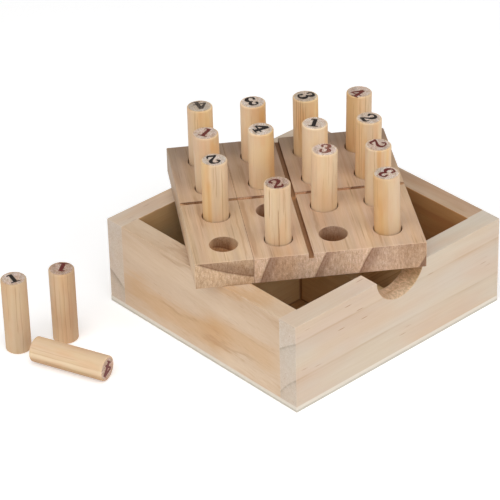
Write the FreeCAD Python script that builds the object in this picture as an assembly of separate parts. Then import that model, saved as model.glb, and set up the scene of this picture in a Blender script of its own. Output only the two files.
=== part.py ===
"""Number-peg puzzle: a shallow pine box with four compartments, a 4 x 4 peg board and sixteen numbered pegs.

The board has been lifted out, turned on the spot and laid across the rim. Thirteen pegs stand in
it, two stand beside the box and one lies there. Units are millimetres. The origin is the middle
of the box's underside, +Z is up, and the wall with the finger notch faces -Y.
"""
import FreeCAD, Part
import math
import os

from FreeCAD import Rotation, Vector

os.makedirs("parts", exist_ok=True)

# Box: 10.5 mm pine walls, butt-jointed and glued, on a thin base board.
BOX_X = 130.0            # overall length, along the notched wall
BOX_Y = 128.0            # overall depth
BOX_Z = 45.5             # overall height with the base
WALL = 10.5              # wall thickness
BASE = 3.0               # base board thickness
EDGE = 0.4               # rounding of sanded outer edges
BASE_EDGE = 0.2          # rounding of the base board's underside edges

# Finger notch in the middle of the front wall: a bite of a 30 mm cutter.
NOTCH_R = 15.0
NOTCH_DEPTH = 13.5       # below the rim

# Two low dividers, cross-lapped near the middle, that carry the board when it is stored in the box.
DIVIDER = 5.0            # thickness
DIVIDER_TOP = 30.5       # height of their top edges above the underside of the box
DIVIDER_X = -1.2         # middle plane of the divider that runs front to back
DIVIDER_Y = 0.5          # middle plane of the divider that runs left to right

# Peg board, in its own frame: u to the right, v to the back, origin at the middle of its underside.
BOARD = 105.0            # side length
BOARD_T = 13.0           # thickness
BOARD_EDGE = 0.4         # rounding of its edges
GLUE_LINE_U = -25.9      # joint between the narrow and the wide stave
KERF_W = 2.3             # the two saw kerfs that quarter the board
KERF_D = 2.6
PITCH = 25.0             # hole spacing
HOLE_R = 6.5
HOLE_D = 9.0
HOLE_EDGE = 0.25         # chamfer round each hole's mouth

REST_GAP = 0.02          # air left under a piece that lies or stands on another body

# Where the board lies on the rim.
BOARD_AT = Vector(-2.7, 3.6, BOX_Z + REST_GAP)
BOARD_TURN = -34.2       # degrees about +Z

# Pegs: lengths of 12 mm dowel.
PEG_R = 6.0
PEG_L = 38.0
PEG_EDGE = 0.7           # rounding of both ends

# Pegs in the board: row from the back, column from the left, ink, numeral, and how far the top of the peg
# leans out of plumb in its loose hole, towards +X and +Y.
BOARD_PEGS = [
    (1, 1, "black", 4, (0.5, 0.6)),
    (1, 2, "black", 3, (0.1, 0.1)),
    (1, 3, "black", 3, (0.6, 0.8)),
    (1, 4, "red", 4, (0.9, 0.1)),
    (2, 1, "red", 1, (-0.5, 0.5)),
    (2, 2, "black", 4, (-0.7, -0.7)),
    (2, 3, "black", 1, (0.3, 0.0)),
    (2, 4, "black", 2, (0.7, -0.2)),
    (3, 1, "black", 2, (0.4, 0.5)),
    (3, 3, "red", 3, (0.8, 0.0)),
    (3, 4, "red", 2, (0.4, 0.0)),
    (4, 2, "red", 2, (0.2, 0.4)),
    (4, 4, "red", 3, (-0.9, 0.3)),
]

# Pegs beside the box: two stand on the table and one lies on its side.
STANDING_PEGS = [
    ("peg_loose_a_black_1", (-121.3, 63.7)),
    ("peg_loose_b_red_1", (-100.4, 54.8)),
]
LYING_PEG = ("peg_loose_c_red_4", (-115.1, 32.6))    # the middle of its length
LYING_TURN = -69.5       # degrees about +Z from +X to the numbered end


def save(shape, node):
    """Write one solid as one node."""
    assert len(shape.Solids) == 1 and shape.isValid(), node
    shape.Solids[0].exportStep("parts/" + node + ".step")
    print(node, "volume", round(shape.Volume, 1))


def block(x0, x1, y0, y1, z0, z1):
    """A box between two corners."""
    return Part.makeBox(x1 - x0, y1 - y0, z1 - z0, Vector(x0, y0, z0))


def edges_where(shape, test):
    """The edges whose both ends and middle pass a test."""
    found = []
    for edge in shape.Edges:
        middle = edge.valueAt((edge.FirstParameter + edge.LastParameter) / 2)
        points = [vertex.Point for vertex in edge.Vertexes] + [middle]
        if all(test(point) for point in points):
            found.append(edge)
    return found


def near(value, target):
    return abs(value - target) < 1e-6


def box_frame():
    """All four walls as one ring with the finger notch and its sanded edges."""
    half_x = BOX_X / 2
    half_y = BOX_Y / 2
    ring = block(-half_x, half_x, -half_y, half_y, BASE, BOX_Z)
    ring = ring.cut(block(WALL - half_x, half_x - WALL, WALL - half_y, half_y - WALL, 0, BOX_Z + 1))
    notch_z = BOX_Z - NOTCH_DEPTH + NOTCH_R
    cutter = Part.makeCylinder(NOTCH_R, WALL + 2, Vector(0, -half_y - 1, notch_z), Vector(0, 1, 0))
    ring = ring.cut(cutter)

    def upright(point):
        return near(abs(point.x), half_x) and near(abs(point.y), half_y)

    def rim(point):
        in_notch_mouth = abs(point.x) < NOTCH_R and -half_y + 1 < point.y < WALL - half_y - 1
        return near(point.z, BOX_Z) and not in_notch_mouth

    def notch(point):
        on_face = near(point.y, -half_y) or near(point.y, WALL - half_y)
        return on_face and near(math.hypot(point.x, point.z - notch_z), NOTCH_R)

    edges = edges_where(ring, upright) + edges_where(ring, rim) + edges_where(ring, notch)
    return ring.makeFillet(EDGE, edges)


def box_walls():
    """Front and back walls run the full length; the side walls fit between them."""
    ring = box_frame()
    y_in = BOX_Y / 2 - WALL
    top = BOX_Z + 1
    save(ring.common(block(-BOX_X, BOX_X, -BOX_Y, -y_in, 0, top)), "box_wall_front")
    save(ring.common(block(-BOX_X, BOX_X, y_in, BOX_Y, 0, top)), "box_wall_back")
    save(ring.common(block(-BOX_X, 0, -y_in, y_in, 0, top)), "box_wall_left")
    save(ring.common(block(0, BOX_X, -y_in, y_in, 0, top)), "box_wall_right")


def box_base():
    """The thin board glued under the walls, flush with their outsides."""
    half_x = BOX_X / 2
    half_y = BOX_Y / 2
    base = block(-half_x, half_x, -half_y, half_y, 0, BASE)

    def outer(point):
        on_side = near(abs(point.x), half_x) or near(abs(point.y), half_y)
        return on_side and near(point.z, 0)

    save(base.makeFillet(BASE_EDGE, edges_where(base, outer)), "box_base")


def box_dividers():
    """Two strips that halve each other's height where they cross."""
    x_in = BOX_X / 2 - WALL
    y_in = BOX_Y / 2 - WALL
    half = DIVIDER / 2
    lap_z = (BASE + DIVIDER_TOP) / 2
    x_low = DIVIDER_X - half
    x_high = DIVIDER_X + half
    y_low = DIVIDER_Y - half
    y_high = DIVIDER_Y + half
    across = block(x_low, x_high, -y_in, y_in, BASE, DIVIDER_TOP)
    across = across.cut(block(x_low - 1, x_high + 1, y_low, y_high, lap_z, DIVIDER_TOP + 1))
    along = block(-x_in, x_in, y_low, y_high, BASE, DIVIDER_TOP)
    along = along.cut(block(x_low, x_high, y_low - 1, y_high + 1, 0, lap_z))
    save(across, "box_divider_front_to_back")
    save(along, "box_divider_left_to_right")


def hole_centre(row, column):
    """Centre of a hole in the board's own frame; row 1 is the back and column 1 the left."""
    return Vector((column - 2.5) * PITCH, (2.5 - row) * PITCH, 0)


def on_rim(shape):
    """Move a shape from the board's frame to where the board lies on the rim."""
    placed = shape.copy()
    placed.rotate(Vector(0, 0, 0), Vector(0, 0, 1), BOARD_TURN)
    placed.translate(BOARD_AT)
    return placed


def peg_board():
    """Two glued staves with sixteen blind holes and two crossing kerfs."""
    half = BOARD / 2
    board = block(-half, half, -half, half, 0, BOARD_T)
    board = board.makeFillet(BOARD_EDGE, board.Edges)
    kerf_low = BOARD_T - KERF_D
    board = board.cut(block(-KERF_W / 2, KERF_W / 2, -BOARD, BOARD, kerf_low, BOARD_T + 1))
    board = board.cut(block(-BOARD, BOARD, -KERF_W / 2, KERF_W / 2, kerf_low, BOARD_T + 1))
    up = Vector(0, 0, 1)
    for row in range(1, 5):
        for column in range(1, 5):
            centre = hole_centre(row, column)
            hole = Part.makeCylinder(HOLE_R, HOLE_D + 1, centre + up * (BOARD_T - HOLE_D), up)
            mouth = Part.makeCone(HOLE_R, HOLE_R + 2 * HOLE_EDGE, 2 * HOLE_EDGE,
                                  centre + up * (BOARD_T - HOLE_EDGE), up)
            board = board.cut(hole).cut(mouth)
    narrow = board.common(block(-BOARD, GLUE_LINE_U, -BOARD, BOARD, -1, 2 * BOARD_T))
    wide = board.common(block(GLUE_LINE_U, BOARD, -BOARD, BOARD, -1, 2 * BOARD_T))
    save(on_rim(narrow), "board_stave_narrow")
    save(on_rim(wide), "board_stave_wide")


def peg():
    """One peg, standing on the origin, with both ends lightly rounded."""
    dowel = Part.makeCylinder(PEG_R, PEG_L)

    def end(point):
        return near(point.z, 0) or near(point.z, PEG_L)

    return dowel.makeFillet(PEG_EDGE, edges_where(dowel, end))


def pegs_in_board():
    """Each peg stands on the rim of its foot and leans a little in its loose hole."""
    for row, column, ink, numeral, lean in BOARD_PEGS:
        axis = Vector(lean[0], lean[1], PEG_L)
        axis.normalize()
        tilt = math.asin(math.hypot(axis.x, axis.y))
        foot = hole_centre(row, column) + Vector(0, 0, BOARD_T - HOLE_D)
        foot = Rotation(Vector(0, 0, 1), BOARD_TURN).multVec(foot) + BOARD_AT
        # The foot sets back by half of what the lean takes up at the hole's mouth.
        set_back = HOLE_D / 2
        foot = foot - Vector(axis.x, axis.y, 0) * set_back
        foot = foot + Vector(0, 0, PEG_R * math.sin(tilt) + REST_GAP)
        shape = peg()
        shape.Placement = FreeCAD.Placement(foot, Rotation(Vector(0, 0, 1), axis))
        save(shape, "peg_r{}_c{}_{}_{}".format(row, column, ink, numeral))


def loose_pegs():
    """Two pegs standing on the table and one lying on its side."""
    for node, place in STANDING_PEGS:
        shape = peg()
        shape.translate(Vector(place[0], place[1], 0))
        save(shape, node)
    node, middle = LYING_PEG
    along = Rotation(Vector(0, 0, 1), LYING_TURN).multVec(Vector(1, 0, 0))
    start = Vector(middle[0], middle[1], PEG_R) - along * (PEG_L / 2)
    shape = peg()
    shape.Placement = FreeCAD.Placement(start, Rotation(Vector(0, 0, 1), along))
    save(shape, node)


box_walls()
box_base()
box_dividers()
peg_board()
pegs_in_board()
loose_pegs()
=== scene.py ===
"""Looks of the number-peg puzzle: solid-wood materials, printed numerals, floor, light and camera."""
import math
from collections import namedtuple

import bpy
import numpy as np
from mathutils import Matrix, Vector


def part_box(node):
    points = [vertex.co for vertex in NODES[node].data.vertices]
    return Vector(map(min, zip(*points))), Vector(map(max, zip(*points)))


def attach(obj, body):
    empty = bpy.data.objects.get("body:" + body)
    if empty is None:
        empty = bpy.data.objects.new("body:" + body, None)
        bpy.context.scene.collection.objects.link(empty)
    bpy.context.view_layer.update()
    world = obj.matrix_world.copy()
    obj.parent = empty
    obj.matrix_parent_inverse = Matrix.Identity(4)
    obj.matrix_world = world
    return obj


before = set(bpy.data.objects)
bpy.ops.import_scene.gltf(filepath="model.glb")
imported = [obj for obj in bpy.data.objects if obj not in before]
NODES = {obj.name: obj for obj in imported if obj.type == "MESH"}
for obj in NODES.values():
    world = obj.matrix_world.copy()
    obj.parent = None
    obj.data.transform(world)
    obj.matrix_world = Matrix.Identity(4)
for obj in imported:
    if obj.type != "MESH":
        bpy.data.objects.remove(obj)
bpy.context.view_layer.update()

MM = 0.001

# Camera: looks at the middle of the group from front left, above, with a long lens.
CAMERA_AZIMUTH = -41.716
CAMERA_ELEVATION = 32.292
CAMERA_ROLL = -1.524
CAMERA_DISTANCE = 1.2734
CAMERA_TARGET = Vector((-0.0197, 0.0152, 0.030))
CAMERA_LENS = 196.48
SENSOR = 36.0

# The peg board lies turned on the rim. Its sizes are in millimetres.
BOARD_TURN = math.radians(-34.2)
BOARD_HALF = 52.5
HOLE_PITCH = 25.0
HOLE_RADIUS = 6.5
HOLE_DEPTH = 9.0
KERF_HALF = 1.15
KERF_DEPTH = 2.6
GLUE_LINE_U = -25.9

# Finger notch in the front wall's rim, in millimetres.
NOTCH_RADIUS = 15.0
NOTCH_DEPTH = 13.5

# Printed numerals: how far the first stroke lies above the wood, and each later one above the one before.
INK_LIFT = 0.05 * MM
INK_STEP = 0.004 * MM


def linear(rgb):
    """A screen colour of 0-255 values to linear RGBA."""
    def channel(value):
        c = value / 255
        return c / 12.92 if c <= 0.04045 else ((c + 0.055) / 1.055) ** 2.4
    return tuple(channel(v) for v in rgb) + (1.0,)


# ---------------------------------------------------------------- node helpers

class Shader:
    """One procedural material. Most methods add nodes and give back an output socket."""

    def __init__(self, name):
        self.material = bpy.data.materials.new(name)
        self.material.use_nodes = True
        self.tree = self.material.node_tree
        self.tree.nodes.clear()

    def feed(self, socket, value):
        if isinstance(value, bpy.types.NodeSocket):
            self.tree.links.new(value, socket)
        else:
            socket.default_value = value

    def node(self, kind, settings=(), **inputs):
        made = self.tree.nodes.new(kind)
        for key, value in dict(settings).items():
            setattr(made, key, value)
        for key, value in inputs.items():
            self.feed(made.inputs[key.replace("_", " ")], value)
        return made

    def math(self, operation, *values, clamp=False):
        made = self.tree.nodes.new("ShaderNodeMath")
        made.operation = operation
        made.use_clamp = clamp
        for index, value in enumerate(values):
            self.feed(made.inputs[index], value)
        return made.outputs[0]

    def vector(self, operation, *values, scale=None):
        made = self.tree.nodes.new("ShaderNodeVectorMath")
        made.operation = operation
        for index, value in enumerate(values):
            self.feed(made.inputs[index], value)
        if scale is not None:
            self.feed(made.inputs["Scale"], scale)
        return made.outputs["Value" if operation in ("LENGTH", "DOT_PRODUCT") else "Vector"]

    def mix(self, factor, a, b, blend="MIX"):
        made = self.tree.nodes.new("ShaderNodeMix")
        made.data_type = "RGBA"
        made.blend_type = blend
        self.feed(made.inputs[0], factor)
        self.feed(made.inputs[6], a)
        self.feed(made.inputs[7], b)
        return made.outputs[2]

    def between(self, factor, a, b):
        """A number that goes from a to b as factor goes from 0 to 1."""
        made = self.tree.nodes.new("ShaderNodeMix")
        made.data_type = "FLOAT"
        self.feed(made.inputs[0], factor)
        self.feed(made.inputs[2], a)
        self.feed(made.inputs[3], b)
        return made.outputs[0]

    def remap(self, value, low, high, to_low=0.0, to_high=1.0, smooth=True):
        kind = "SMOOTHSTEP" if smooth else "LINEAR"
        made = self.node("ShaderNodeMapRange", {"interpolation_type": kind})
        for index, item in enumerate((value, low, high, to_low, to_high)):
            self.feed(made.inputs[index], item)
        return made.outputs[0]

    def ramp(self, factor, stops):
        """stops: (place, linear RGBA) pairs."""
        made = self.node("ShaderNodeValToRGB", Fac=factor)
        elements = made.color_ramp.elements
        elements.remove(elements[1])
        elements[0].position, elements[0].color = stops[0]
        for place, colour in stops[1:]:
            elements.new(place).color = colour
        return made.outputs[0]

    def product(self, *values):
        result = values[0]
        for value in values[1:]:
            result = self.math("MULTIPLY", result, value)
        return result

    def tint(self, mask, colour, factor):
        """Colour times factor where mask is 1."""
        return self.mix(mask, colour, self.vector("MULTIPLY", colour, factor))

    def sway(self, value, reach):
        """A noise value turned into a distance between -reach and reach."""
        return self.remap(value, 0.3, 0.7, -reach, reach, smooth=False)

    def coordinates(self, kind="Object"):
        """Object coordinates in metres, or the Normal in them."""
        return self.node("ShaderNodeTexCoord").outputs[kind]

    def millimetres(self, location=(0, 0, 0), rotation=(0, 0, 0)):
        """Object coordinates in millimetres, turned and then moved."""
        made = self.node("ShaderNodeMapping", Vector=self.coordinates(), Location=location, Rotation=rotation,
                         Scale=(1 / MM, 1 / MM, 1 / MM))
        return made.outputs[0]

    def noise(self, place, scale, detail=3.0, roughness=0.55, stretch=(1, 1, 1), output="Fac"):
        where = self.vector("MULTIPLY", place, stretch)
        made = self.node("ShaderNodeTexNoise", Vector=where, Scale=scale, Detail=detail, Roughness=roughness)
        return made.outputs[output]

    def jostle(self, place, scale, roughness, stretch, reach):
        """A noise vector, up to reach long along each axis, either way."""
        made = self.noise(place, scale, 2.0, roughness, stretch, "Color")
        return self.vector("SCALE", self.vector("SUBTRACT", made, (0.5, 0.5, 0.5)), scale=2 * reach)

    def specks(self, place, scale, stretch, inner, outer):
        """Small separate spots, 1 inside and 0 outside, long where stretch is small."""
        where = self.vector("MULTIPLY", place, stretch)
        made = self.node("ShaderNodeTexVoronoi", Vector=where, Scale=scale)
        return self.remap(made.outputs["Distance"], inner, outer, 1.0, 0.0)

    def finish(self, colour, roughness, bump=None, bump_mm=0.02, specular=0.35, glow=0.0):
        shader = self.node("ShaderNodeBsdfPrincipled")
        shader.inputs["Emission Color"].default_value = (1, 1, 1, 1)
        shader.inputs["Emission Strength"].default_value = glow
        self.feed(shader.inputs["Base Color"], colour)
        self.feed(shader.inputs["Roughness"], roughness)
        shader.inputs["Specular IOR Level"].default_value = specular
        if bump is not None:
            relief = self.node("ShaderNodeBump", Height=bump, Strength=1.0, Distance=bump_mm * MM)
            self.feed(shader.inputs["Normal"], relief.outputs[0])
        output = self.node("ShaderNodeOutputMaterial")
        self.tree.links.new(shader.outputs[0], output.inputs["Surface"])
        return self.material


# ---------------------------------------------------------------- wood

RESIN = (150, 92, 62)
# Pale colour along the edges: partly wear and partly a painted highlight.
WORN_AND_HIGHLIT = (240, 222, 198)
WEAR_AND_HIGHLIGHT_RADIUS = 0.5 * MM
EDGE_WEAR_AND_HIGHLIGHT = 0.15
PEG_WEAR_AND_HIGHLIGHT = 0.12
STRAND = (0.55, 0.44, 0.36)

# How dark the wood is, as (place, darkness), from a ring's start (0) to its outer edge (1).
SOFT_RINGS = [(0.0, 0.0), (0.30, 0.12), (0.60, 0.30), (0.82, 0.58), (0.95, 0.95), (0.985, 1.0)]
THIN_RINGS = [(0.0, 0.0), (0.55, 0.10), (0.88, 0.22), (0.955, 0.55), (0.98, 1.0), (0.99, 1.0)]
BOARD_RINGS = [(0.0, 0.0), (0.20, 0.10), (0.50, 0.24), (0.78, 0.36), (0.85, 0.66), (0.955, 0.74), (0.97, 1.0)]

# Width of the ring outside the last edge that is listed, in millimetres.
LAST_RING = 12.0


def log_mapping(shader, along, pith):
    """Object coordinates in millimetres from the pith line, Z along the grain."""
    z = Vector(along).normalized()
    x = z.orthogonal().normalized()
    y = z.cross(x)
    turn = Matrix((x, y, z))
    return shader.millimetres(-(turn @ Vector(pith)), turn.to_euler("XYZ"))


def seeded(shader, place, seed):
    """The same place in another stretch of the noise, so that no two pieces look alike."""
    return shader.vector("ADD", place, (seed * 31.7, seed * 17.3, seed * 53.9))


def ring_tone(shader, place, rings, profile, wobble, edge, fade):
    """Growth rings, 1 where the wood is darkest.

    rings lists the distance of each ring's edge from the pith, in millimetres. wobble is how far the rings
    wander, edge how ragged their dark lines are and fade how much of them comes and goes.
    """
    drift = shader.jostle(place, 1 / 50, 0.5, (1, 1, 0.35), wobble)
    jitter = shader.jostle(place, 1.1, 0.6, (1, 1, 0.05), edge)
    across = shader.vector("ADD", shader.vector("ADD", place, drift), jitter)
    radius = shader.vector("LENGTH", shader.vector("MULTIPLY", across, (1, 1, 0)))
    low, high = rings[0], rings[-1] + LAST_RING
    stops = []
    for inner, outer in zip(rings, rings[1:]):
        stops += [(inner + (outer - inner) * t + (edge if t == 0 else 0), tone) for t, tone in profile]
    stops += [(rings[-1] + edge, 0.0), (high, 0.25)]
    stops = [(min(1.0, max(0.0, (mm - low) / (high - low))), (tone, tone, tone, 1)) for mm, tone in stops]
    tone = shader.ramp(shader.remap(radius, low, high, smooth=False), stops)
    weaker = shader.remap(shader.noise(place, 1 / 7, 2.0, 0.5, (1, 1, 0.22)), 0.40, 0.60, 1 - fade, 1.0)
    return shader.product(tone, weaker)


def worn_and_highlit_edges(shader, colour, amount):
    """Paler wood along sharp edges, fading over a fraction of a millimetre: partly wear and partly a painted
    highlight.
    """
    soft = shader.node("ShaderNodeBevel", {"samples": 4}, Radius=WEAR_AND_HIGHLIGHT_RADIUS).outputs[0]
    sharp = shader.node("ShaderNodeNewGeometry").outputs["Normal"]
    edge = shader.remap(shader.vector("DOT_PRODUCT", soft, sharp), 0.995, 0.86)
    return shader.mix(shader.product(edge, amount), colour, linear(WORN_AND_HIGHLIT))


def wood_surface(shader, colour, relief):
    """Dull sanded wood, a little glossier where it stands up."""
    roughness = shader.remap(relief, 0.6, 1.4, 0.68, 0.56, smooth=False)
    return shader.finish(colour, roughness, relief, 0.04, 0.3)


def centred(shader, value, amount):
    """A noise value turned into a factor around 1."""
    return shader.remap(value, 0.28, 0.72, 1 - amount, 1 + amount, smooth=False)


def tinted(shader, colour, factor, warmth=1.5):
    """Colour times factor; blue changes more than red, as in wood."""
    red = shader.math("POWER", factor, 1 / warmth)
    made = shader.node("ShaderNodeCombineXYZ", X=red, Y=factor, Z=shader.math("POWER", factor, warmth))
    return shader.mix(1.0, colour, made.outputs[0], "MULTIPLY")


def grain(shader, shifted, end, streak, speckle):
    """Fibres on the faces and speckle on the cut ends: a factor around 1, and its relief."""
    broad = shader.noise(shifted, 0.16, 3.0, 0.55, (1, 1, 0.06))
    fibres = shader.noise(shifted, 0.8, 5.0, 0.65, (1, 1, 0.02))
    fine = shader.noise(shifted, 2.4, 3.0, 0.7, (1, 1, 0.04))
    blotch = shader.noise(shifted, 0.5, 3.0, 0.6)
    grit = shader.noise(shifted, 2.6, 2.0, 0.8)
    face_factor = shader.product(centred(shader, broad, 0.8 * streak), centred(shader, fibres, 1.3 * streak),
                                 centred(shader, fine, streak))
    end_factor = shader.product(centred(shader, blotch, 0.6 * speckle), centred(shader, grit, 2.0 * speckle))
    relief = shader.math("ADD", shader.between(end, fibres, grit), fine)
    return shader.between(end, face_factor, end_factor), relief


def strands_of(shader, shifted, end, colour, amount):
    """Thin dark fibres that come in groups."""
    dark = shader.remap(shader.noise(shifted, 1.5, 2.0, 0.6, (1, 1, 0.022)), 0.55, 0.70)
    gate = shader.remap(shader.noise(shifted, 1 / 7, 1.0, 0.5, (1, 1, 0.3)), 0.44, 0.60)
    gate = shader.product(gate, shader.math("SUBTRACT", 1.0, end))
    return shader.tint(shader.product(dark, gate, amount), colour, STRAND)


def patches_of(shader, shifted, end, colour, patches):
    """Soft areas on the faces, each as (width, length, amount, tint), weaker on the cut ends."""
    strength = shader.between(end, 1.0, 0.4)
    for index, (width, length, amount, tint) in enumerate(patches):
        spot = shader.vector("ADD", shifted, (7.7 * index, 3.1 * index, 11.3 * index))
        mask = shader.remap(shader.noise(spot, 1 / width, 2.0, 0.5, (1, 1, width / length)), 0.40, 0.64)
        colour = shader.tint(shader.product(mask, amount, strength), colour, tint)
    return colour


def figure_of(shader, across, along, colour, figure):
    """Flames, patches and dark lines that fade out at their ends.

    figure: (place across, half width, from, to, amount, tint) each.
    """
    for middle, half_width, start, stop, amount, tint in figure:
        off = shader.math("ABSOLUTE", shader.math("SUBTRACT", across, middle))
        mask = shader.remap(off, half_width, 0.25 * half_width)
        fade = min(10.0, 1.5 + half_width)
        begins = shader.remap(along, start - fade, start + fade)
        ends = shader.remap(along, stop + fade, stop - fade)
        colour = shader.tint(shader.product(mask, begins, ends, amount), colour, tint)
    return colour


def wood(name, along, pith, rings, faces, ends, profile=SOFT_RINGS, face_line=0.5, end_line=0.9, wobble=2.0,
         edge=0.25, fade=0.0, streak=0.05, strands=0.0, speckle=0.10, patches=(), dashes=0.0, facing_light_and_shade=(),
         shade=None, extra=None, seed=0.0):
    """Solid pine. faces and ends each hold the colour of the pale and of the dark part of a ring.

    facing_light_and_shade: painted light and shade, as (direction, tint) each, for the faces that point that
    way.
    shade: painted shade, as where along the grain its tint starts and is complete, in millimetres, and the
    tint.
    extra: more detail, as a function of shader and colour.
    """
    shader = Shader(name)
    place = log_mapping(shader, along, pith)
    tone = ring_tone(shader, place, rings, profile, wobble, edge, fade)
    shifted = seeded(shader, place, seed)
    normal = shader.coordinates("Normal")
    facing = shader.math("ABSOLUTE", shader.vector("DOT_PRODUCT", normal, Vector(along).normalized()))
    end = shader.remap(facing, 0.55, 0.92)

    line = shader.product(tone, shader.between(end, face_line, end_line))
    colour = shader.mix(end, shader.mix(line, linear(faces[0]), linear(faces[1])),
                        shader.mix(line, linear(ends[0]), linear(ends[1])))
    colour = patches_of(shader, shifted, end, colour, patches)
    factor, relief = grain(shader, shifted, end, streak, speckle)
    colour = tinted(shader, colour, factor)
    if strands:
        colour = strands_of(shader, shifted, end, colour, strands)
    if dashes:
        spots = shader.specks(shifted, 1.0, (0.5, 0.5, 0.052), 0.07, 0.15)
        gate = shader.remap(shader.noise(shifted, 1 / 16, 1.0, 0.5, (1, 1, 0.4)), 0.50, 0.62)
        colour = shader.mix(shader.product(spots, gate, dashes), colour, linear(RESIN))
    # Painted shade: a tint that sets in along the grain.
    if shade:
        start, stop, tint = shade
        along_mm = shader.node("ShaderNodeSeparateXYZ", Vector=place).outputs["Z"]
        colour = shader.tint(shader.remap(along_mm, start, stop), colour, tint)
    colour = worn_and_highlit_edges(shader, colour, EDGE_WEAR_AND_HIGHLIGHT)
    # Painted light and shade: faces that point a given way get a tint of their own.
    for towards, tint in facing_light_and_shade:
        mask = shader.remap(shader.vector("DOT_PRODUCT", normal, towards), 0.5, 0.9)
        colour = shader.tint(mask, colour, tint)
    if extra:
        colour = extra(shader, colour)
    return wood_surface(shader, colour, relief)


# ---------------------------------------------------------------- tints, figure and painted light and shade of the box and the board

PINKISH = (1.0, 0.90, 0.84)
YELLOWISH = (1.04, 1.03, 0.93)
ORANGE = (0.96, 0.84, 0.68)
WHITENED = (1.10, 1.13, 1.15)
GREYISH = (0.86, 0.87, 0.90)
LINE = (0.66, 0.53, 0.42)
FLAME = (0.97, 0.80, 0.54)
ROSY = (1.0, 0.87, 0.82)
ASHEN = (0.84, 0.83, 0.88)
# Painted shade for the lying peg's underside.
SHADED = (0.78, 0.69, 0.58)
GLUE = (0.36, 0.24, 0.18)
# Painted shade where the dividers meet and stand on the base, partly a dark glue line at the crossing.
JOINT_SHADE = (0.55, 0.42, 0.32)
# Painted shade inside the holes: darker floors, and browner, darker walls.
HOLE_FLOOR_SHADE = (0.60, 0.57, 0.57)
HOLE_SHADE_WIDE = (0.55, 0.40, 0.28, 1)
HOLE_SHADE_NARROW = (0.95, 0.78, 0.60, 1)
# Painted shade in the front-to-back kerf, with some browner sawn wood, and painted light in the left-to-right
# kerf.
KERF_SHADE_AND_LIGHT = ((0.66, 0.49, 0.34), (1.25, 1.15, 1.0))      # front to back, left to right

# Rows for figure_of, in millimetres: by height and distance from the back on the left wall,
# and by place across the staves and distance from the middle towards the front on the peg board.
LEFT_FIGURE = (
    (15, 10, 0, 72, 0.9, ORANGE), (20, 10, 55, 106, 0.8, ORANGE), (36, 11, 2, 58, 0.7, WHITENED),
    (7, 6, 66, 106, 0.7, WHITENED), (33, 8, 62, 100, 0.3, WHITENED), (13.5, 1.3, 55, 88, 0.35, LINE),
    (18, 1.2, 22, 52, 0.3, LINE), (24, 1.0, 76, 104, 0.3, LINE), (45.5, 3.0, 66, 96, 0.7, ORANGE),
    (46, 1.5, 28, 60, 0.3, LINE))
BOARD_FIGURE = (
    (-12, 7, 45, 54, 0.55, FLAME), (-24.6, 1.8, 2, 50, 0.5, LINE), (-28.4, 0.8, 10, 48, 0.4, LINE),
    (-44.5, 1.0, -6, 22, 0.4, LINE),
    (-20, 1.4, -30, 16, 0.45, LINE), (6, 0.8, 14, 40, 0.45, LINE), (33, 1.0, 18, 50, 0.4, LINE),
    (45.5, 1.2, -2, 24, 0.5, LINE), (18, 3.5, -52, -10, 0.35, LINE), (-36, 4.0, -52, -22, 0.3, ASHEN),
    (-3, 3.0, -46, -14, 0.3, ASHEN))


def board_frame():
    """Middle of the peg board's underside and its top height, in millimetres."""
    low_a, high_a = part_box("board_stave_narrow")
    low_b, high_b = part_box("board_stave_wide")
    low = Vector(map(min, low_a, low_b)) / MM
    high = Vector(map(max, high_a, high_b)) / MM
    middle = (low + high) / 2
    return Vector((middle.x, middle.y, low.z)), high.z


def board_point(u, z):
    """A point u to the right of the peg board's middle and z above its underside, in the row frame."""
    origin, _ = board_frame()
    return origin + Vector((u * math.cos(BOARD_TURN), u * math.sin(BOARD_TURN), z))


def holes(shader, colour, parts, depth):
    """Painted shade inside the holes: browner and darker with depth, and darker again on the floors of the
    narrow stave's holes.
    """
    cell = [shader.math("ABSOLUTE", shader.math("WRAP", parts[axis], HOLE_PITCH, 0.0)) for axis in "XY"]
    cell = [shader.math("SUBTRACT", value, HOLE_PITCH / 2) for value in cell]
    squares = [shader.math("POWER", value, 2.0) for value in cell]
    reach = shader.math("SQRT", shader.math("ADD", *squares))
    hole_shade = shader.remap(reach, HOLE_RADIUS + 0.25, HOLE_RADIUS + 0.02)
    hole_shade = shader.product(hole_shade, shader.remap(depth, 0.3, 6.0, 0.2, 1.0, smooth=False))
    narrow = shader.remap(parts["X"], GLUE_LINE_U + 1, GLUE_LINE_U - 1)
    colour = shader.tint(hole_shade, colour, shader.mix(narrow, HOLE_SHADE_WIDE, HOLE_SHADE_NARROW))
    floor = shader.remap(depth, HOLE_DEPTH - 0.8, HOLE_DEPTH - 0.2)
    return shader.tint(shader.product(hole_shade, narrow, floor), colour, HOLE_FLOOR_SHADE)


def kerfs(shader, colour, parts, depth):
    """The two saw kerfs, down from the top face and inside the board's sides: painted shade with some browner
    sawn wood in the front-to-back kerf, painted light in the left-to-right one.
    """
    lengths = [shader.math("ABSOLUTE", parts[axis]) for axis in "XY"]
    below = shader.remap(depth, 0.25, 0.7)
    inside = shader.remap(shader.math("MAXIMUM", *lengths), BOARD_HALF - 0.1, BOARD_HALF - 0.3)
    cut = shader.product(below, inside, shader.remap(depth, KERF_DEPTH + 0.3, KERF_DEPTH + 0.1))
    near = [shader.remap(length, KERF_HALF + 0.15, KERF_HALF + 0.02) for length in lengths]
    for sawn, tint in zip(near, KERF_SHADE_AND_LIGHT):
        colour = shader.tint(shader.product(sawn, cut), colour, tint)
    return colour


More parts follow.
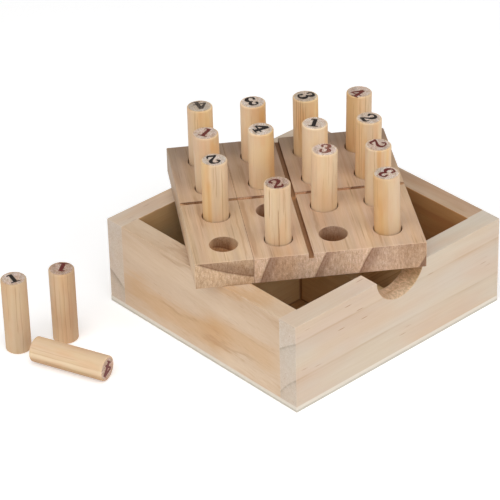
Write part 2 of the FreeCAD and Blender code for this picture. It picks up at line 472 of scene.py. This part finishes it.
def front_end_fibres(shader, colour, parts, place):
    """Upright fibres on the board's front end, which is darker towards the right."""
    upright = shader.noise(place, 1.4, 3.0, 0.75, (1, 0.05, 0.3))
    upright = shader.remap(upright, 0.34, 0.66, 0.74, 1.20, smooth=False)
    upright = shader.product(upright, shader.remap(parts["X"], 32, 46, 1.0, 0.64))
    front = (math.sin(BOARD_TURN), -math.cos(BOARD_TURN), 0)
    facing = shader.vector("DOT_PRODUCT", shader.coordinates("Normal"), front)
    return tinted(shader, colour, shader.between(shader.remap(facing, 0.7, 0.95), 1.0, upright), 1.25)


def glue_line(shader, colour, parts, place):
    """The thin dark ragged line between the two staves."""
    ragged = shader.remap(shader.noise(place, 0.7, 3.0, 0.7), 0.3, 0.7, 0.12, 0.42, smooth=False)
    off = shader.math("ABSOLUTE", shader.math("SUBTRACT", parts["X"], GLUE_LINE_U))
    return shader.tint(shader.product(shader.remap(off, ragged, 0.0), 0.75), colour, GLUE)


def board_details(shader, colour):
    """Holes, kerfs, figure, end fibres and glue line, in the board's own frame."""
    origin, top = board_frame()
    turn = Matrix.Rotation(-BOARD_TURN, 3, "Z")
    place = shader.millimetres(-(turn @ origin), (0, 0, -BOARD_TURN))
    parts = shader.node("ShaderNodeSeparateXYZ", Vector=place).outputs
    depth = shader.math("SUBTRACT", top - origin.z, parts["Z"])
    colour = holes(shader, colour, parts, depth)
    colour = kerfs(shader, colour, parts, depth)
    wander = shader.sway(shader.noise(place, 1 / 9, 3.0, 0.6, (1, 0.3, 1)), 1.0)
    across = shader.math("ADD", parts["X"], wander)
    colour = figure_of(shader, across, shader.product(parts["Y"], -1.0), colour, BOARD_FIGURE)
    colour = front_end_fibres(shader, colour, parts, place)
    return glue_line(shader, colour, parts, place)


def dress(node, material):
    mesh = NODES[node].data
    mesh.materials.clear()
    mesh.materials.append(material)


def left_figure(shader, colour):
    """Broad soft orange and pale bands along the left wall, by height and distance from the back."""
    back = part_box("box_wall_left")[1].y / MM
    place = shader.millimetres()
    parts = shader.node("ShaderNodeSeparateXYZ", Vector=place).outputs
    wander = shader.sway(shader.noise(place, 1 / 18, 3.0, 0.6, (1, 0.35, 1)), 4.0)
    frayed = shader.sway(shader.noise(place, 0.9, 3.0, 0.65, (1, 0.05, 1)), 1.4)
    height = shader.math("ADD", shader.math("ADD", parts["Z"], wander), frayed)
    along = shader.math("SUBTRACT", back, parts["Y"])
    return figure_of(shader, height, along, colour, LEFT_FIGURE)


def notch_details(shader, colour):
    """Browner, coarser cut wood inside the finger notch, darker on its right side."""
    low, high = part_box("box_wall_front")
    centre = Vector(((low.x + high.x) / 2, 0, high.z - NOTCH_DEPTH * MM + NOTCH_RADIUS * MM))
    place = shader.coordinates()
    across = shader.vector("MULTIPLY", shader.vector("SUBTRACT", place, centre), (1 / MM, 0, 1 / MM))
    cut = shader.remap(shader.vector("LENGTH", across), NOTCH_RADIUS + 0.25, NOTCH_RADIUS + 0.05)
    grit = shader.noise(place, 1300.0, 3.0, 0.8, (0.6, 0.35, 1))
    coarse = shader.mix(shader.remap(grit, 0.36, 0.64), (0.90, 0.76, 0.58, 1), (1.32, 1.17, 0.98, 1))
    side = shader.remap(shader.node("ShaderNodeSeparateXYZ", Vector=across).outputs["X"], 2, 13)
    coarse = shader.tint(side, coarse, (0.85, 0.77, 0.66))
    return shader.mix(cut, colour, shader.mix(1.0, colour, coarse, "MULTIPLY"))


def joint_shade_lines(shader, colour):
    """Dark thin lines where the dividers cross and where they stand on the base: painted shade, and at the
    crossing partly a glue line.
    """
    low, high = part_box("box_divider_front_to_back")
    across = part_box("box_divider_left_to_right")
    middle = Vector(((low.x + high.x) / 2, (across[0].y + across[1].y) / 2, low.z)) / MM
    place = shader.vector("SUBTRACT", shader.millimetres(), middle)
    parts = shader.node("ShaderNodeSeparateXYZ", Vector=place).outputs
    reach = shader.math("MAXIMUM", *[shader.math("ABSOLUTE", parts[axis]) for axis in "XY"])
    edge = (high.x - low.x) / 2 / MM
    crossing = shader.remap(reach, edge + 1.2, edge + 0.4)
    foot = shader.remap(parts["Z"], 1.4, 0.4)
    return shader.tint(shader.math("MAXIMUM", crossing, foot), colour, JOINT_SHADE)


def dress_box():
    front_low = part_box("box_wall_front")[0] / MM
    back_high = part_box("box_wall_back")[1] / MM
    left_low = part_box("box_wall_left")[0] / MM
    right_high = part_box("box_wall_right")[1] / MM
    x_axis = (1, 0, 0)
    # The turned tints are painted light and shade: paler tops, and darker, warmer inner faces.
    dress("box_wall_front", wood(
        "pine_front", (1, 0.004, -0.012), (0, front_low.y - 34.7, -27), [26, 40, 56.3, 72.3, 92],
        ((203, 188, 171), (178, 148, 118)), ((203, 189, 173), (148, 132, 114)), profile=THIN_RINGS,
        face_line=0.5, end_line=0.7, wobble=1.2, fade=0.5, streak=0.025, speckle=0.09, dashes=0.6,
        patches=((16, 55, 0.9, PINKISH), (14, 60, 0.45, YELLOWISH)), facing_light_and_shade=[((0, 0, 1), (1.09, 1.14, 1.20))],
        extra=notch_details, seed=1))
    dress("box_wall_back", wood(
        "pine_back", x_axis, (0, back_high.y + 31, -36), [20, 63.1, 110],
        ((208, 190, 172), (176, 146, 118)), ((204, 188, 172), (150, 132, 114)), profile=THIN_RINGS,
        face_line=0.5, end_line=0.7, wobble=1.5, fade=0.4, streak=0.035, strands=0.15, speckle=0.09,
        dashes=0.35, patches=((12, 45, 0.8, PINKISH), (14, 60, 0.8, YELLOWISH)),
        facing_light_and_shade=[((0, -1, 0), (1.07, 0.92, 0.61)), ((0, 0, 1), (1.06, 1.07, 1.06))], seed=2))
    dress("box_wall_left", wood(
        "pine_left", (0.10, 1, 0.16), (left_low.x + 40, 0, 10), [18, 34, 54, 70],
        ((209, 185, 159), (186, 150, 115)), ((205, 185, 160), (180, 155, 125)), face_line=0.6, wobble=6.0,
        edge=3.0, fade=0.3, streak=0.035, strands=0.2, dashes=0.2,
        facing_light_and_shade=[((1, 0, 0), (1.10, 0.92, 0.66)), ((0, 0, 1), (1.07, 1.09, 1.10))], extra=left_figure, seed=3))
    dress("box_wall_right", wood(
        "pine_right", (-0.04, 1, 0.02), (right_high.x - 26, 0, 12), [10, 20, 31, 42, 54],
        ((196, 170, 146), (160, 120, 90)), ((205, 185, 160), (180, 155, 125)), face_line=0.5, wobble=4.0,
        edge=1.0, fade=0.4, streak=0.04, strands=0.25, dashes=0.2,
        patches=((16, 50, 0.5, ORANGE), (10, 50, 0.9, PINKISH), (14, 50, 0.5, WHITENED)),
        facing_light_and_shade=[((-1, 0, 0), (1.04, 0.80, 0.48)), ((0, 0, 1), (1.0, 1.06, 1.08))], seed=4))
    divider_ends = ((228, 200, 160), (205, 172, 128))
    dress("box_divider_front_to_back", wood(
        "pine_divider_a", (0.01, 1, 0.02), (40, 0, 10), [20, 28, 36, 45],
        ((240, 210, 162), (220, 184, 132)), divider_ends, wobble=3.0, edge=0.5, strands=0.3,
        extra=joint_shade_lines, seed=5))
    dress("box_divider_left_to_right", wood(
        "pine_divider_b", (1, 0.01, 0.02), (0, 45, 5), [20, 30, 40, 52],
        ((250, 224, 178), (236, 204, 152)), divider_ends, wobble=3.0, edge=0.5, strands=0.3,
        extra=joint_shade_lines, seed=6))
    dress("box_base", plywood("ply_base"))


def plywood(name):
    """Thin plywood: warm brown veneer inside the box and whitish plies along the cut edges."""
    shader = Shader(name)
    place = shader.millimetres()
    fibres = shader.noise(place, 0.9, 4.0, 0.6, (0.03, 1, 1))
    core_fibres = shader.noise(place, 0.9, 4.0, 0.6, (1, 0.05, 1))
    height = shader.node("ShaderNodeSeparateXYZ", Vector=place).outputs["Z"]
    ragged = shader.math("ADD", height, shader.remap(shader.noise(place, 0.35, 2.0), 0.2, 0.8, -0.12, 0.12))
    core = shader.remap(ragged, 1.35, 1.15)
    face_colour = shader.mix(fibres, linear((208, 198, 184)), linear((228, 220, 208)))
    core_colour = shader.mix(core_fibres, linear((182, 174, 160)), linear((204, 198, 186)))
    colour = shader.mix(core, face_colour, core_colour)
    inside = shader.mix(shader.remap(fibres, 0.3, 0.7), linear((206, 164, 112)), linear((232, 194, 142)))
    upward = shader.remap(shader.vector("DOT_PRODUCT", shader.coordinates("Normal"), (0, 0, 1)), 0.5, 0.9)
    return shader.finish(shader.mix(upward, colour, inside), 0.65, fibres, 0.03, 0.3)


def dress_board():
    along = (-math.sin(BOARD_TURN), math.cos(BOARD_TURN), 0)
    # The shade tint darkens and greys the board towards its back: painted shade of the pegs, partly the
    # wood's own tone.
    look = dict(
        profile=BOARD_RINGS, face_line=0.35, end_line=0.95, wobble=0.5, edge=0.12, streak=0.055, strands=0.5,
        speckle=0.12, shade=(-10, 60, (0.60, 0.61, 0.66)), extra=board_details,
        patches=((7, 60, 0.8, YELLOWISH), (9, 45, 0.45, PINKISH), (6, 70, 0.8, GREYISH)))
    dress("board_stave_narrow", wood(
        "pine_stave_narrow", along, board_point(-6.8, 99.6), [72, 98.2],
        ((220, 191, 161), (174, 134, 98)), ((198, 167, 136), (122, 87, 61)), seed=7, **look))
    dress("board_stave_wide", wood(
        "pine_stave_wide", along, board_point(190, -73.7), [136, 159.4, 184.2, 202.7, 226.1],
        ((214, 184, 156), (178, 136, 100)), ((212, 180, 153), (128, 90, 68)), seed=8, **look))


# ---------------------------------------------------------------- pegs

def peg_axis(node, towards):
    """Middle of the numbered end, and the direction to it from the other end, which is roughly towards."""
    mesh = NODES[node].data
    co = np.empty(len(mesh.vertices) * 3)
    mesh.vertices.foreach_get("co", co)
    co = np.unique(co.reshape(-1, 3).round(7), axis=0)
    axis = np.array(towards, float)
    for band in (2.0, 0.6, 0.1):
        reach = co @ axis
        top = co[reach > reach.max() - band * MM].mean(0)
        foot = co[reach < reach.min() + band * MM].mean(0)
        axis = (top - foot) / np.linalg.norm(top - foot)
    top += axis * ((co @ axis).max() - top @ axis)
    return Vector(top), Vector(axis)


# Level and to the right, for someone standing where the camera is.
PAGE_RIGHT = Vector((math.cos(math.radians(CAMERA_AZIMUTH)), math.sin(math.radians(CAMERA_AZIMUTH)), 0))

PEG_RADIUS = 6.0         # in millimetres
LYING_PEG = "peg_loose_c_red_4"
LYING_TOWARDS = (0.35, -0.94, 0)
HEART = 45.0             # from a peg's middle to the heart of its log, in millimetres
LATE_WOOD = 0.82         # screen brightness of a ring's dark part on a sawn end, against its pale part

# Screen colours of the pegs' sides, roughly from the palest to the darkest, and of their sawn ends.
CREAM = (242, 217, 183)
BUTTER = (237, 207, 162)
SHELL = (230, 206, 173)
STRAW = (228, 199, 160)
SAND = (218, 190, 158)
HONEY = (224, 189, 141)
OAT = (218, 186, 141)
FAWN = (212, 184, 152)
TAN = (206, 176, 141)
DUN = (199, 173, 142)
UMBER = (189, 158, 126)
WHITE_END = (226, 204, 188)
PALE_END = (215, 198, 181)
PLAIN_END = (208, 187, 169)
GREY_END = (199, 183, 164)
BROWN_END = (191, 164, 144)

# Each peg: the tones at its left, middle and right, the side that the heart of the log was on (-1 left,
# 1 right), where ring edges cross it, its figure as (x, half width, from, to, amount, tint) in millimetres
# across and below the numbered end, the numeral's turn (degrees, anticlockwise), offset, stroke weight and
# wear, and the tone of its sawn ends.
# The tones across each peg are partly the wood's own and partly painted light and shade.
Look = namedtuple("Look", "tones heart bands figure turn offset weight worn sawn")
PEGS = {
    "peg_r1_c1_black_4": Look(
        (SAND, OAT, BUTTER), 1, (9, 2, -5),
        ((-2.2, 0.3, 0, 17, 0.6, LINE), (-1.1, 0.3, 3, 14, 0.4, LINE), (0.6, 2.6, -2, 7, 0.5, ROSY),
         (3.4, 1.4, 3, 16, 0.3, FLAME)), -161, (-0.2, 0.7), 1.1, 0.75, GREY_END),
    "peg_r1_c2_black_3": Look(
        (CREAM, STRAW, HONEY), -1, (-14, 4.8),
        ((4.2, 2.0, 2, 11, 0.6, FLAME), (-1.0, 0.3, 4, 22, 0.3, LINE), (1.2, 0.3, 8, 30, 0.3, LINE),
         (0.5, 2.4, -2, 8, 0.4, ROSY)), -158, (-0.5, 0.7), 1.1, 0.15, PALE_END),
    "peg_r1_c3_black_3": Look(
        (STRAW, OAT, BUTTER), -1, (-7, -1.5, 4),
        ((-4.3, 0.3, 0, 14, 0.7, LINE), (-3.4, 0.3, 0, 20, 0.6, LINE), (-2.4, 0.35, 0, 16, 0.75, LINE),
         (-1.3, 0.3, 0, 13, 0.6, LINE), (-0.3, 0.3, 2, 20, 0.4, LINE), (-2.0, 2.6, 6, 24, 0.35, FLAME),
         (2.6, 1.9, 1, 13, 0.5, ROSY), (5.2, 1.2, 2, 24, 0.5, FLAME)), -66, (0.3, 0.5), 1.25, 0.15, GREY_END),
    "peg_r1_c4_red_4": Look(
        (HONEY, STRAW, SAND), -1, (-16, -1),
        ((0.2, 0.3, 1, 15, 0.6, LINE), (2.6, 0.3, 0, 17, 0.55, LINE), (4.0, 0.25, 4, 18, 0.4, LINE),
         (-2.8, 0.3, 4, 26, 0.3, LINE)), -40, (-0.5, -1.9), 1, 0.4, PLAIN_END),
    "peg_r2_c1_red_1": Look(
        (SAND, SAND, STRAW), 1, (12, 3.2),
        ((2.8, 1.4, 1, 8, 0.7, FLAME), (4.6, 1.4, 3, 20, 0.4, FLAME), (-1.6, 2.4, 1, 14, 0.45, ROSY)),
        -30, (0.1, 0.2), 1.1, 0.45, PLAIN_END),
    "peg_r2_c2_black_4": Look(
        (CREAM, STRAW, HONEY), 1, (11, 4, -3),
        ((-3.5, 0.25, 4, 20, 0.2, LINE), (1.0, 2.0, -2, 6, 0.3, ROSY)),
        -65, (0.1, 0.15), 1.1, 0.15, PALE_END),
    "peg_r2_c3_black_1": Look(
        (CREAM, CREAM, CREAM), 1, (11, 5, -1),
        ((5.0, 1.2, 0, 30, 0.4, FLAME), (1.5, 0.25, 2, 22, 0.2, LINE)),
        -12, (-0.2, 0.0), 1.12, 0.15, PALE_END),
    "peg_r2_c4_black_2": Look(
        (BUTTER, SAND, STRAW), -1, (-6, -3, 3.5),
        ((-4.5, 0.3, 0, 36, 0.55, LINE), (-3.6, 0.25, 3, 30, 0.4, LINE), (-1.9, 1.4, 6, 40, 0.4, FLAME),
         (2.8, 1.8, 0, 8, 0.6, ROSY), (1.4, 0.25, 2, 14, 0.4, LINE), (3.6, 0.25, 5, 18, 0.3, LINE)),
        -53, (-0.3, 0.0), 1.2, 0.35, PALE_END),
    "peg_r3_c1_black_2": Look(
        (HONEY, FAWN, SHELL), -1, (-10, -2.5, 5),
        ((-2.6, 1.3, 9, 40, 0.6, FLAME), (-0.9, 0.4, 1, 15, 0.5, ASHEN), (0.6, 0.3, 0, 16, 0.6, LINE),
         (-0.4, 0.25, 1, 12, 0.5, LINE), (1.5, 1.2, 3, 17, 0.4, ASHEN), (3.3, 0.25, 3, 30, 0.6, LINE)),
        -160, (-0.4, 0.3), 1.1, 0.15, PALE_END),
    "peg_r3_c3_red_3": Look(
        (CREAM, STRAW, SHELL), 1, (9, 3, -4.5),
        ((-4.0, 0.25, 2, 22, 0.35, LINE), (1.6, 0.25, 0, 15, 0.35, LINE), (3.6, 0.25, 4, 26, 0.35, LINE),
         (-0.6, 0.25, 12, 34, 0.2, LINE)), -10, (0.4, 0.7), 1.2, 0.75, WHITE_END),
    "peg_r3_c4_red_2": Look(
        (SHELL, SAND, STRAW), -1, (-4, 3.4),
        ((0.2, 1.5, -2, 10, 0.75, FLAME), (4.0, 0.9, -2, 14, 0.5, FLAME), (-1.9, 0.3, 0, 13, 0.5, LINE),
         (2.2, 0.7, 0, 13, 0.4, ROSY)), -125, (-0.2, 1.2), 1, 0.35, PLAIN_END),
    "peg_r4_c2_red_2": Look(
        (SHELL, TAN, SAND), 1, (9, 2.6, -5),
        ((-3.7, 0.33, 1, 15, 0.9, LINE), (0.2, 0.33, 11, 40, 1.0, LINE), (2.4, 0.3, 0, 13, 0.6, LINE),
         (3.2, 0.28, 2, 22, 0.5, LINE), (-1.8, 0.28, 19, 40, 0.4, LINE), (-2.6, 0.25, 2, 22, 0.35, LINE),
         (0.8, 0.25, 2, 12, 0.3, LINE)), 24, (-0.36, -1.0), 1.2, 0.3, BROWN_END),
    "peg_r4_c4_red_3": Look(
        (HONEY, TAN, FAWN), -1, (-22, -1),
        ((-2.8, 1.7, 10, 40, 0.4, FLAME), (-0.6, 1.2, 2, 32, 0.35, FLAME), (-4.2, 0.25, 1, 16, 0.3, LINE)),
        134, (0.3, 0.3), 1.12, 0.3, PALE_END),
    "peg_loose_a_black_1": Look(
        (TAN, DUN, DUN), 1, (12, 3, -0.6),
        ((1.0, 0.3, 1, 26, 0.5, LINE), (2.8, 0.3, 4, 38, 0.4, LINE), (-3.0, 0.3, 0, 20, 0.35, LINE)),
        27, (-0.1, -0.3), 1.1, 0.15, PLAIN_END),
    "peg_loose_b_red_1": Look(
        (FAWN, TAN, UMBER), -1, (-7, -3, 1, 4),
        ((-3.2, 0.3, 0, 38, 0.35, LINE), (0.9, 0.3, 3, 36, 0.3, LINE), (3.0, 0.3, 0, 30, 0.4, LINE),
         (-1.2, 0.3, 8, 38, 0.3, LINE)), 168, (0.4, 1.3), 1.15, 0.3, BROWN_END),
    # The lying peg's darker underside, its first tone and its last figure row, is painted shade.
    "peg_loose_c_red_4": Look(
        (UMBER, SHELL, SAND), 1, (9, 1.5, -4),
        ((1.8, 0.3, 6, 38, 0.3, LINE), (-1.6, 0.3, 2, 30, 0.25, LINE), (3.6, 0.3, 14, 38, 0.3, LINE),
         (-3.4, 4.6, -2, 40, 1.0, SHADED)),
        138, (-0.4, 0.0), 1.3, 0.1, BROWN_END),
}


def dowel(name, top, axis, right, look, seed):
    """A peg's wood. Its tones and figure lie across it along right, the same in front and behind. The tones
    are partly the wood's own and partly painted light and shade.
    """
    shader = Shader(name)
    place = log_mapping(shader, axis, top / MM + right * look.heart * HEART)
    rings = [HEART - look.heart * band for band in look.bands]
    ring = ring_tone(shader, place, rings, SOFT_RINGS, 0.5, 0.6, 0.5)
    shifted = seeded(shader, place, seed)
    facing = shader.math("ABSOLUTE", shader.vector("DOT_PRODUCT", shader.coordinates("Normal"), axis))
    end = shader.remap(facing, 0.90, 0.985)

    local = shader.vector("SUBTRACT", shader.coordinates(), top)
    x = shader.vector("DOT_PRODUCT", local, right / MM)
    depth = shader.vector("DOT_PRODUCT", local, -axis / MM)
    wander = shader.sway(shader.noise(shifted, 1 / 6, 2.0, 0.5, (1, 1, 0.3)), 0.22)
    frayed = shader.sway(shader.noise(shifted, 2.0, 2.0, 0.6, (1, 1, 0.08)), 0.12)
    x = shader.math("ADD", shader.math("ADD", x, wander), frayed)

    stops = [(place_on, linear(tone)) for place_on, tone in zip((0.15, 0.5, 0.85), look.tones)]
    side = shader.ramp(shader.remap(x, -PEG_RADIUS, PEG_RADIUS, smooth=False), stops)
    side = shader.tint(shader.product(ring, 0.35), side, (0.86, 0.76, 0.62))
    side = patches_of(shader, shifted, 0.0, side, ((5, 16, 0.5, ROSY), (6, 20, 0.5, YELLOWISH)))
    side = figure_of(shader, x, depth, side, look.figure)
    late = linear([value * LATE_WOOD for value in look.sawn])
    cut = shader.mix(shader.product(ring, 0.7), linear(look.sawn), late)
    cut = patches_of(shader, shifted, 0.0, cut, ((3, 3, 0.6, ROSY),))
    from_axis = shader.vector("LENGTH", shader.vector("CROSS_PRODUCT", local, axis / MM))
    cut = shader.mix(shader.remap(from_axis, 4.4, PEG_RADIUS, 0.0, 0.6), cut, side)
    factor, relief = grain(shader, shifted, end, 0.025, 0.32)
    colour = tinted(shader, shader.mix(end, side, cut), factor)
    colour = strands_of(shader, shifted, end, colour, 0.08)
    return wood_surface(shader, worn_and_highlit_edges(shader, colour, PEG_WEAR_AND_HIGHLIGHT), relief)


def dress_pegs():
    up = Vector((0, 0, 1))
    for index, (node, look) in enumerate(PEGS.items()):
        lying = node == LYING_PEG
        top, axis = peg_axis(node, LYING_TOWARDS if lying else up)
        right = up if lying else PAGE_RIGHT
        right = (right - axis * right.dot(axis)).normalized()
        dress(node, dowel("dowel_" + node[4:], top, axis, right, look, 20 + 1.37 * index))
        print_numeral(node, look, top, axis)


# ---------------------------------------------------------------- numerals

# Each ink's colour where it is solid and where it is thin.
INKS = {"ink_black": ((44, 37, 34), (118, 104, 94)), "ink_red": ((103, 42, 38), (174, 122, 102))}

# Pen strokes in millimetres, as (x, y, width).
GLYPHS = {
    "1": [[(0.0, 3.8, 1.6), (0.0, 0.0, 1.7), (0.0, -3.2, 1.7)],
          [(-2.05, 2.95, 0.5), (-1.3, 3.25, 0.8), (-0.3, 3.4, 0.8)],
          [(-2.3, -2.95, 0.5), (-1.2, -2.9, 0.75), (0.0, -2.9, 0.8), (1.2, -2.9, 0.75), (2.3, -2.95, 0.5)]],
    "2": [[(-2.1, 1.7, 0.8), (-2.2, 2.6, 0.9), (-1.2, 3.55, 0.75), (0.2, 3.75, 0.85), (1.5, 3.1, 1.4),
           (1.8, 1.8, 1.6), (1.1, 0.5, 1.4), (-0.3, -0.8, 1.0), (-1.5, -2.0, 0.9), (-2.2, -3.1, 0.8)],
          [(-2.3, -3.2, 0.6), (-1.2, -2.7, 1.2), (0.2, -3.0, 1.35), (1.3, -3.1, 1.2), (1.95, -2.4, 0.8),
           (2.2, -1.2, 0.5)],
          [(-2.1, 1.75, 1.0), (-1.65, 1.8, 1.6), (-1.1, 1.95, 0.9)]],
    "3": [[(-2.0, 2.2, 0.8), (-1.6, 3.2, 0.8), (-0.2, 3.8, 0.75), (1.2, 3.3, 1.3), (1.55, 2.1, 1.6),
           (0.9, 0.9, 1.1), (-0.4, 0.35, 0.6)],
          [(-0.4, 0.35, 0.6), (1.0, 0.1, 1.0), (1.85, -1.4, 1.8), (1.2, -2.9, 1.4), (-0.2, -3.55, 0.8),
           (-1.7, -3.1, 0.8), (-2.25, -2.1, 0.9)],
          [(-2.2, 2.05, 1.0), (-1.65, 2.1, 1.6), (-1.1, 2.2, 1.0)],
          [(-2.4, -1.8, 1.0), (-1.8, -1.65, 1.7), (-1.2, -1.6, 1.0)]],
    "4": [[(0.4, 3.8, 1.5), (0.4, 0.0, 1.7), (0.4, -3.5, 1.7)],
          [(0.2, 3.7, 1.5), (-0.9, 1.9, 1.5), (-3.2, -0.9, 0.8)],
          [(-3.5, -1.15, 0.75), (0.0, -1.15, 0.85), (2.65, -1.15, 0.7)],
          [(-1.5, -3.4, 0.5), (-0.4, -3.35, 0.7), (0.4, -3.35, 0.75), (1.2, -3.35, 0.7), (2.3, -3.4, 0.5)]],
}


def smooth_path(points, steps=8):
    """Catmull-Rom through the points."""
    points = [np.array(p, float) for p in points]
    padded = [2 * points[0] - points[1]] + points + [2 * points[-1] - points[-2]]
    path = []
    for a, b, c, d in zip(padded, padded[1:], padded[2:], padded[3:]):
        for k in range(steps):
            t = k / steps
            path.append(0.5 * (2 * b + (c - a) * t + (2 * a - 5 * b + 4 * c - d) * t * t
                               + (3 * b - a - 3 * c + d) * t ** 3))
    return path + [points[-1]]


def ribbon(path, weight):
    """Points on both sides of a pen stroke, in pairs, and the quads between them."""
    points = []
    for k, (x, y, width) in enumerate(path):
        ahead = path[min(k + 1, len(path) - 1)] - path[max(k - 1, 0)]
        side = np.array((-ahead[1], ahead[0])) / math.hypot(ahead[0], ahead[1]) * weight * width / 2
        points += [(x + side[0], y + side[1]), (x - side[0], y - side[1])]
    return points, [(a, a + 1, a + 3, a + 2) for a in range(0, len(points) - 2, 2)]


def print_numeral(node, look, top, axis):
    """The numeral as thin films of ink on a peg's end, one film per pen stroke."""
    right = PAGE_RIGHT - axis * PAGE_RIGHT.dot(axis)
    if node == LYING_PEG:
        right = Vector((0, 0, 1)).cross(axis)
    right.normalize()
    up = axis.cross(right)
    angle = math.radians(look.turn)
    along_x = right * math.cos(angle) + up * math.sin(angle)
    along_y = up * math.cos(angle) - right * math.sin(angle)
    middle = top + (right * look.offset[0] + up * look.offset[1]) * MM
    verts, faces = [], []
    for layer, stroke in enumerate(GLYPHS[node[-1]]):
        start = middle + axis * (INK_LIFT + layer * INK_STEP)
        points, quads = ribbon(smooth_path(stroke), look.weight)
        faces += [[len(verts) + corner for corner in quad] for quad in quads]
        verts += [start + (along_x * x + along_y * y) * MM for x, y in points]
    name = "numeral_" + node[4:]
    ink = "ink_black" if "black" in node else "ink_red"
    mesh = bpy.data.meshes.new(name)
    mesh.from_pydata(verts, [], faces)
    mesh.materials.append(ink_material(name, *INKS[ink], look.worn))
    piece = bpy.data.objects.new(name, mesh)
    bpy.context.scene.collection.objects.link(piece)
    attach(piece, node)


def ink_material(name, solid, thin, worn):
    """Stamped ink: thinner where the wood's pores and fibres took less of it, more so the more worn it is."""
    shader = Shader(name)
    place = shader.millimetres()
    pores = shader.noise(place, 1.7, 4.0, 0.7)
    missing = shader.remap(pores, 0.62 - 0.3 * worn, 0.80 - 0.2 * worn)
    colour = shader.mix(missing, linear(solid), linear(thin))
    return shader.finish(colour, 0.5, pores, 0.02, 0.3)


# ---------------------------------------------------------------- stage

FLOOR_REACH = 4.0
FLOOR_DROP = 0.02 * MM
FLOOR_GLOW = 0.31
WORLD_STRENGTH = 0.21
SOFTBOX_DISTANCE = 1.6
SOFTBOX_WIDTH = 1.2
SOFTBOX_HEIGHT = 0.9
# Azimuth and elevation in degrees, and watts.
SOFTBOXES = {
    "left": (-95, 40, 6.7),
    "right": (20, 30, 8.0),
    "high_front": (-42, 62, 6.3),
    "overhead": (0, 88, 4.15),
    "front": (-42, 32, 4.25),
}


def direction(azimuth, elevation):
    """Unit vector from the object towards a viewer at that azimuth and elevation."""
    a, e = math.radians(azimuth), math.radians(elevation)
    return Vector((math.sin(a) * math.cos(e), -math.cos(a) * math.cos(e), math.sin(e)))


def softbox(name, azimuth, elevation, power):
    light = bpy.data.lights.new(name, "AREA")
    light.shape = "RECTANGLE"
    light.size = SOFTBOX_WIDTH
    light.size_y = SOFTBOX_HEIGHT
    light.energy = power
    lamp = bpy.data.objects.new(name, light)
    away = direction(azimuth, elevation)
    lamp.location = CAMERA_TARGET + away * SOFTBOX_DISTANCE
    lamp.rotation_euler = away.to_track_quat("Z", "Y").to_euler()
    bpy.context.scene.collection.objects.link(lamp)


def make_floor():
    """A white floor just under the box's underside."""
    mesh = bpy.data.meshes.new("floor")
    quarters = ((-1, -1), (1, -1), (1, 1), (-1, 1))
    corners = [(x * FLOOR_REACH, y * FLOOR_REACH, -FLOOR_DROP) for x, y in quarters]
    mesh.from_pydata(corners, [], [(0, 1, 2, 3)])
    shader = Shader("white_sweep")
    mottle = shader.noise(shader.coordinates(), 300.0, 2.0)
    colour = shader.mix(mottle, (0.90, 0.90, 0.90, 1), (0.93, 0.93, 0.93, 1))
    mesh.materials.append(shader.finish(colour, 0.9, specular=0.1, glow=FLOOR_GLOW))
    floor = bpy.data.objects.new("floor", mesh)
    bpy.context.scene.collection.objects.link(floor)


def make_light():
    world = bpy.data.worlds.new("studio")
    world.use_nodes = True
    background = world.node_tree.nodes["Background"]
    background.inputs["Color"].default_value = (1, 1, 1, 1)
    background.inputs["Strength"].default_value = WORLD_STRENGTH
    bpy.context.scene.world = world
    for name, (azimuth, elevation, power) in SOFTBOXES.items():
        softbox(name, azimuth, elevation, power)


def make_camera():
    data = bpy.data.cameras.new("camera")
    data.sensor_width = SENSOR
    data.lens = CAMERA_LENS
    data.clip_start = 0.01
    data.clip_end = 20.0
    camera = bpy.data.objects.new("camera", data)
    away = direction(CAMERA_AZIMUTH, CAMERA_ELEVATION)
    level_up = away.cross(PAGE_RIGHT)
    roll = math.radians(CAMERA_ROLL)
    right = PAGE_RIGHT * math.cos(roll) + level_up * math.sin(roll)
    up = level_up * math.cos(roll) - PAGE_RIGHT * math.sin(roll)
    turn = Matrix((right, up, away)).transposed().to_4x4()
    camera.matrix_world = Matrix.Translation(CAMERA_TARGET + away * CAMERA_DISTANCE) @ turn
    bpy.context.scene.collection.objects.link(camera)
    bpy.context.scene.camera = camera


bpy.context.scene.view_settings.view_transform = "Standard"
dress_box()
dress_board()
dress_pegs()
make_floor()
make_light()
make_camera()
